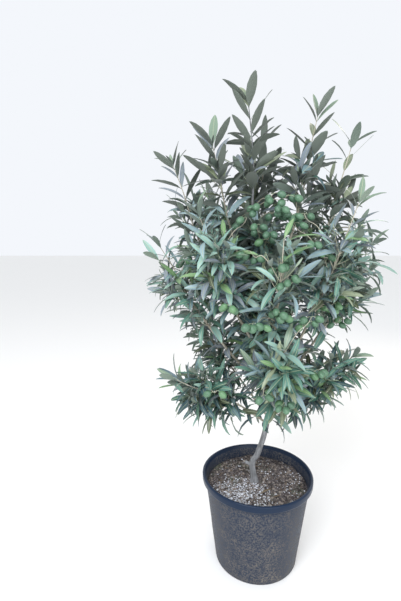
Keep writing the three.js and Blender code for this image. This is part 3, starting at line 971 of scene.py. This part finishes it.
# an olive is a tube along its axis, whose radius is a half wave, a little fuller towards the stalk
fall = np.linspace(0, np.pi, fruit["rings"])
tilt = unit(np.cross(fruitAxes, [0.2, 0.9, 0.1]))
back = np.cos(fall) * 0.5 * fruitSize[:, None]
ringMiddles = fruitMiddles[:, None] - fruitAxes[:, None] * back[..., None]
ringRadii = np.maximum(np.sin(fall), 0.012) * (1 + 0.05 * np.cos(fall)) * fruitWide[:, None] / 2
across = tilt[:, None], np.cross(fruitAxes, tilt)[:, None]
rings = ringPoints(ringMiddles, ringRadii[..., None], *across, fruit["sides"])
# painted light and shade: fruit low in the crown take the paler skins, higher fruit the darker ones
shade = np.where(fruitMiddles[:, 2] < fruit["paintedLightBelow"], *fruit["shades"])
shade = np.clip((rng.normal(0, 0.5, fruitCount) + shade).astype(int), 0, 2)
slots = np.concatenate([np.repeat(shade, (fruit["rings"] - 1) * fruit["sides"]), shade, shade])
skins = [skinMaterial("waxyOliveSkin" + str(i), colour) for i, colour in enumerate(fruit["colours"])]
handOver(newTubes("olives", rings, skins, slots), "foliage")

stalkEnds = fruitMiddles - fruitAxes * (fruitSize * 0.47)[:, None]
share = np.linspace(0, 1, 5)[:, None]
arch = up * 4 * share * (1 - share) * fruit["stalkSag"]
stalkWays = roots[:, None] * (1 - share) + stalkEnds[:, None] * share + arch
stalkRadii = np.full(stalkWays.shape[:2], fruit["stalkRadius"])
handOver(newTubes("fruit_stalks", tubePoints(stalkWays, stalkRadii, 5), twigMaterials[1:]), "bark")
ways = np.stack([inStations(way, 10) for way in fruitTwigs])
radii = np.broadcast_to(np.linspace(*fruit["twigRadii"], 10), ways.shape[:2])
handOver(newTubes("fruiting_twigs", tubePoints(ways, radii, 6), twigMaterials[:1]), "bark")
print("stage: fruit,", fruitCount)


# pot

pot = {
    "height": 300 * mm, "baseRadius": 134 * mm, "topRadius": 172 * mm, "wall": 4 * mm,
    "rimRadius": 180 * mm, "band": 22 * mm, "lip": 4.5 * mm,
    "footRound": 2.5 * mm,
    "bandRound": ((2.5 * mm, 0.0), (1.0 * mm, 0.8 * mm), (0.4 * mm, 3 * mm)),  # inwards of the rim, up
    "floorRing": 60 * mm,  # a ring in the floor, so that its faces aren't too long
    "sides": 160,
    "uneven": 0.5 * mm,
    "drains": 6, "drainRadius": 8 * mm, "drainCircle": 98 * mm,
    # painted reflection: the black plastic is given a navy colour for the sky's blue reflection
    "plasticAndSkyReflection": "#15253a",
    "dust": "#706b64",
    "dustTop": 0.281, "dustFade": 18 * mm,  # there is none above this height, and it thins out just below
    "dustHigh": 0.60, "dustLow": 0.95,  # shares of the wall with dust, near the rim and at the floor
    "dustInside": 0.1665,  # the radius within which a thinner film lies above the soil
    "dustWithin": 0.6,
    # clouds and grains: each noise's size and detail, its range, and the shares of dust that this leaves
    "dustNoises": ((45 * mm, 7.0, (0.34, 0.62, 0.35, 1.0)), (5 * mm, 3.0, (0.43, 0.59, 0.08, 1.0))),
}


def wallRadius(z):
    # straight taper from base to top
    return pot["baseRadius"] + (pot["topRadius"] - pot["baseRadius"]) * z / pot["height"]


def potProfile():
    # radius and height from the middle of the underside, up the wall, over the rolled lip and down inside
    top, lip, wall, base, rim = (pot[key] for key in ("height", "lip", "wall", "baseRadius", "rimRadius"))
    foot, bandFoot, ring = pot["footRound"], top - pot["band"], pot["floorRing"]
    under = [(0.0, 0.0), (ring, 0.0), (base - foot, 0.0), (base - 0.32 * foot, 0.32 * foot), (base, foot)]
    outer = [(wallRadius(z), z) for z in np.linspace(4 * mm, bandFoot - 1 * mm, 14)]
    band = [(wallRadius(bandFoot), bandFoot)]
    band += [(rim - inwards, bandFoot + rise) for inwards, rise in pot["bandRound"]]
    turns = np.linspace(0, np.pi, 13)
    rolled = [(rim - lip + lip * math.cos(turn), top - lip + lip * math.sin(turn)) for turn in turns]
    inner = [(wallRadius(z) - wall, z) for z in np.linspace(top - 2 * lip - 2 * mm, wall + 2 * mm, 14)]
    floor = [(wallRadius(wall) - wall - 3 * mm, wall), (ring, wall), (0.0, wall)]
    return np.array(under + outer + band + rolled + inner + floor)


def turned(profile, sides, uneven):
    # each profile point on a circle, but for its two ends on the axis; the wall wavers by low noise
    angle = anglesRound(sides)
    rings = aroundAxis(angle, profile[1:-1, :1], profile[1:-1, 1:])
    waver = smoothNoise(rings, 90 * mm, 3) + 0.4 * smoothNoise(rings, 35 * mm, 4)
    rings = rings + aroundAxis(angle, waver * uneven * np.minimum(1, rings[..., 2] / (50 * mm)), 0)
    return closedRings(rings, profile[0, 1], profile[-1, 1])


def potMaterial():
    # black moulded polypropylene: satin, with a film of dried dust that dulls it, thickens down the wall and
    # leaves the rim clean; its grains are drawn 5 mm coarse, so that they show; its base colour is navy, a
    # painted blue reflection of the sky on the black plastic
    material, tree, place = newMaterial("dustyBlackPolypropylene")
    height = addNode(tree, "SeparateXYZ", {0: place}).outputs["Z"]
    top, radius = pot["dustTop"], pot["dustInside"]
    onWall = addNode(tree, "MapRange", {0: height, 1: 0.0, 2: top, 3: pot["dustLow"], 4: pot["dustHigh"]})
    below = addNode(tree, "MapRange", {0: height, 1: top - pot["dustFade"], 2: top, 3: 1.0, 4: 0.0})
    onWall = addNode(tree, "Math", {"operation": "MULTIPLY", 0: onWall, 1: below})
    level = addNode(tree, "VectorMath", {"operation": "MULTIPLY", 0: place, 1: flat})
    away = addNode(tree, "VectorMath", {"operation": "LENGTH", 0: level}).outputs["Value"]
    within = addNode(tree, "MapRange", {0: away, 1: radius, 2: radius + 1 * mm, 3: pot["dustWithin"], 4: 0.0})
    film = addNode(tree, "Math", {"operation": "MAXIMUM", 0: onWall, 1: within})
    for size, detail, span in pot["dustNoises"]:
        noise = addNode(tree, "TexNoise", {
            "Scale": 1 / size, "Detail": detail, "Roughness": 0.7, "Vector": place})
        patches = addNode(tree, "MapRange", {0: noise, **dict(enumerate(span, 1))})
        film = addNode(tree, "Math", {"operation": "MULTIPLY", 0: film, 1: patches})
    plasticAndSkyReflection, dust = (linearColour(pot[key]) for key in ("plasticAndSkyReflection", "dust"))
    colour = addNode(tree, "Mix", {"data_type": "RGBA", 0: film, 6: plasticAndSkyReflection, 7: dust}).outputs[2]
    rough = addNode(tree, "MapRange", {0: film, 1: 0.0, 2: 0.6, 3: 0.32, 4: 0.92})
    bump = addNode(tree, "Bump", {"Strength": 0.35, "Distance": 0.4 * mm, "Height": film})
    return shadeMaterial(material, {
        "Base Color": colour, "Roughness": rough, "IOR": 1.49, "Specular IOR Level": 0.22, "Normal": bump})


def drill(piece, middles, radius, reach):
    # round holes cut through a piece by one boolean with all the cylinders, applied at once
    ways = np.stack([middles - up * reach, middles + up * reach], 1)
    cutter = newTubes("drain_cutter", tubePoints(ways, np.full((len(middles), 2), radius), 20), [])
    cut = piece.modifiers.new("drains", "BOOLEAN")
    cut.operation = "DIFFERENCE"
    cut.solver = "EXACT"
    cut.object = cutter
    whole = bpy.data.meshes.new_from_object(piece.evaluated_get(bpy.context.evaluated_depsgraph_get()))
    piece.modifiers.clear()
    piece.data = whole
    bpy.data.objects.remove(cutter)


potPiece = newPiece("nursery_pot", *turned(potProfile(), pot["sides"], pot["uneven"]), [potMaterial()])
bearings = anglesRound(pot["drains"]) + np.pi / pot["drains"]
drill(potPiece, aroundAxis(bearings, pot["drainCircle"], 0), pot["drainRadius"], 20 * mm)
potPiece.data.set_sharp_from_angle(angle=math.radians(50))
handOver(potPiece, "black_plastic", "pot_floor", "pot_wall", "pot_rim")
print("stage: pot")


# soil

soil = {
    "top": 265 * mm, "edge": 259 * mm, "foot": 4.3 * mm, "inset": 4.4 * mm,
    "sides": 260, "rings": 90,
    "relief": 5.0 * mm,
    # size and share of each noise, from clods down to crumbs
    "clods": ((42 * mm, 1.0), (17 * mm, 0.6), (7 * mm, 0.4), (3 * mm, 0.22)),
    "crumbs": 3600, "crumbSize": (1.8 * mm, 11 * mm),
    "crumbColours": ["#5c5450", "#3d3836", "#857c74"],
    "grit": 4300, "gritSize": (1.4 * mm, 7 * mm),
    "gritColours": ["#d0d3da", "#a6a7ac", "#847f7c"],
    "gritMiddle": (-0.062, -0.078), "gritReach": 0.098,
    "gritShares": (0.72, 0.20),  # in its heap, and strewn over the soil
    "sticks": 46, "stickLength": (9 * mm, 30 * mm), "stickRadius": (0.5 * mm, 1.3 * mm),
    "stickColour": "#75634e",
    "dryLeaves": 9, "dryLength": (36 * mm, 56 * mm), "dryColours": ("#5b4f3f", "#7d7465"),
    "ramp": ((0.36, "#292729"), (0.5, "#50494a"), (0.64, "#7c7673")),  # dark, brown and pale
    "algae": "#535f48",
    "dryGrain": (1 * mm, 0.2 * mm, 0.5, 3.0),
    "stoneGrain": (0.8 * mm, 0.16 * mm, 0.5, 3.0),
}


def soilHeight(x, y):
    # a low mound at the trunk that falls to the wall, plus noise from clods down to crumbs
    radius = np.hypot(x, y)
    place = np.stack([x, y, np.zeros_like(x)], -1)
    rough = sum(share * smoothNoise(place, size, 11 + i) for i, (size, share) in enumerate(soil["clods"]))
    wall = wallRadius(soil["top"]) - soil["inset"]
    base = soil["top"] + (soil["edge"] - soil["top"]) * np.clip((radius - 0.03) / (wall - 0.03), 0, 1) ** 1.5
    return base + soil["relief"] * rough * np.clip((radius - 0.008) / 0.03, 0.15, 1)


def soilMaterial():
    # damp potting soil: matt and dark, with drier pale crumbs and a green tinge of algae in places
    material, tree, place = newMaterial("pottingSoil")
    grain = addNode(tree, "TexNoise", {
        "Scale": 1 / (6 * mm), "Detail": 8.0, "Roughness": 0.7, "Vector": place})
    ramp = addNode(tree, "ValToRGB", {"Fac": grain, "stops": soil["ramp"]})
    patch = addNode(tree, "TexNoise", {"Scale": 1 / (60 * mm), "Detail": 4.0, "Vector": place})
    green = addNode(tree, "MapRange", {0: patch, 1: 0.52, 2: 0.68, 3: 0.0, 4: 0.6})
    mix = addNode(tree, "Mix", {"data_type": "RGBA", 0: green, 6: ramp, 7: linearColour(soil["algae"])})
    bump = addNode(tree, "Bump", {"Strength": 0.8, "Distance": 1.2 * mm, "Height": grain})
    return shadeMaterial(material, {
        "Base Color": mix.outputs[2], "Roughness": 0.95, "IOR": 1.4, "Normal": bump})


soilWall = wallRadius(soil["edge"]) - soil["inset"]
angle = anglesRound(soil["sides"])
rings = aroundAxis(angle, np.linspace(1, 0, soil["rings"], endpoint=False)[:, None] * soilWall, 0.0)
rings[..., 2] = soilHeight(rings[..., 0], rings[..., 1])
rings[0, :, 2] = soil["edge"]
heights = np.linspace(soil["foot"], soil["edge"] - 4 * mm, 8)[:, None]
sides = aroundAxis(angle, wallRadius(heights) - soil["inset"], heights)
plug = closedRings(np.concatenate([sides, rings]), soil["foot"], soil["top"])
handOver(newPiece("soil_plug", *plug, [soilMaterial()]), "potting_soil", "potting_soil")


def scattered(count, reach, middle=(0.0, 0.0), power=0.5):
    # places in a disc, kept inside the pot's wall and off the trunk
    radius = reach * rng.random(count) ** power
    turn = rng.uniform(0, 2 * np.pi, count)
    x, y = middle[0] + radius * np.cos(turn), middle[1] + radius * np.sin(turn)
    inside = (np.hypot(x, y) < soilWall - 5 * mm) & (np.hypot(x, y) > 18 * mm)
    x, y = x[inside], y[inside]
    return np.stack([x, y, soilHeight(x, y)], -1)


def strewGrains(name, places, sizeSpan, power, lift, materials):
    # lumps that rise by a share of their size, most of them small: icosahedra, each corner pushed in or out,
    # stretched, turned at random and flattened
    golden = (1 + 5 ** 0.5) / 2
    corners = [np.roll((a, b, 0), turn) for turn in range(3) for b in (golden, -golden) for a in (-1, 1)]
    corners = unit(np.array(corners))
    near = corners @ corners.T > 0.4  # the cosine between neighbouring corners is 0.447
    facets = np.array([t for t in combinations(range(12), 3) if near[np.ix_(t, t)].all()])
    inward = np.linalg.det(corners[facets]) < 0
    facets[inward] = facets[inward][:, ::-1]
    count = len(places)
    sizes = sizeSpan[0] + (sizeSpan[1] - sizeSpan[0]) * rng.random(count) ** power
    shape = corners[None] * rng.uniform(0.7, 1.15, (count, 12, 1)) * rng.uniform(0.7, 1.2, (count, 1, 3))
    turns = np.linalg.qr(rng.normal(0, 1, (count, 3, 3)))[0]
    turns = turns * np.sign(np.linalg.det(turns))[:, None, None]
    shape = shape @ turns * np.array([1, 1, 0.75])
    points = (places + up * sizes[:, None] * lift)[:, None] + shape * (sizes / 2)[:, None, None]
    faces = (facets[None] + np.arange(count)[:, None, None] * 12).reshape(-1, 3)
    slots = np.repeat(rng.integers(0, len(materials), count), len(facets))
    handOver(newPiece(name, points, [faces], materials, slots, sharpAbove=40), "potting_soil")


# dried crumbs of soil, matt and brown; grit of crushed stone, matt and nearly white
strewGrains("soil_crumbs", scattered(soil["crumbs"], soilWall), soil["crumbSize"], 3, 0.12,
            plainMaterials("dryCrumb", soil["crumbColours"], 0.95, soil["dryGrain"]))
heaped, strewn = (int(soil["grit"] * share) for share in soil["gritShares"])
gritAt = [scattered(heaped, soil["gritReach"], soil["gritMiddle"], 0.75), scattered(strewn, soilWall)]
strewGrains("white_grit", np.concatenate(gritAt), soil["gritSize"], 2.2, 0.25,
            plainMaterials("paleGrit", soil["gritColours"], 0.8, soil["stoneGrain"]))


def lyingWays(count):
    # level directions at random for things that lie on the soil, tipped a little as the soil is uneven
    turn = rng.uniform(0, 2 * np.pi, count)
    return unit(aroundAxis(turn, 1, rng.normal(0, 0.12, count)))


# dead twigs, bent in the middle: brown weathered bark, matt
stickAt = scattered(soil["sticks"], soilWall - 12 * mm)
stickWays = lyingWays(len(stickAt))
halves = rng.uniform(*soil["stickLength"], (len(stickAt), 1)) / 2
bent = stickAt + np.cross(stickWays, up) * halves * rng.normal(0, 0.2, halves.shape)
ways = np.stack([stickAt - stickWays * halves, bent, stickAt + stickWays * halves], 1)
ways[..., 2] = soilHeight(ways[..., 0], ways[..., 1]) + 1.2 * mm
radii = rng.uniform(*soil["stickRadius"], (len(stickAt), 1)) * np.array([1.0, 0.9, 0.7])
deadBark = plainMaterial("weatheredTwig", soil["stickColour"], 0.9, soil["dryGrain"])
handOver(newTubes("dry_sticks", tubePoints(ways, radii, 5), [deadBark]), "potting_soil")

# fallen leaves: dry and brown, dull above and paler below
dryAt = scattered(soil["dryLeaves"], soilWall - 40 * mm)
count = len(dryAt)
dry = {"at": dryAt + up * 3 * mm, "along": lyingWays(count), "size": rng.uniform(*soil["dryLength"], count),
       "share": np.ones(count), "high": np.zeros(count, bool),
       "top": np.zeros(count, int), "under": np.ones(count, int)}
dry["face"] = squared(unit(up + rng.normal(0, 0.25, (count, 3))), dry["along"])
dryMaterials = [plainMaterial("dryLeafTop", soil["dryColours"][0], 0.8, soil["dryGrain"]),
                plainMaterial("dryLeafUnder", soil["dryColours"][1], 0.85, soil["dryGrain"])]
handOver(leafPiece("fallen_leaves", dry, dryMaterials, 1), "potting_soil")
print("stage: soil")
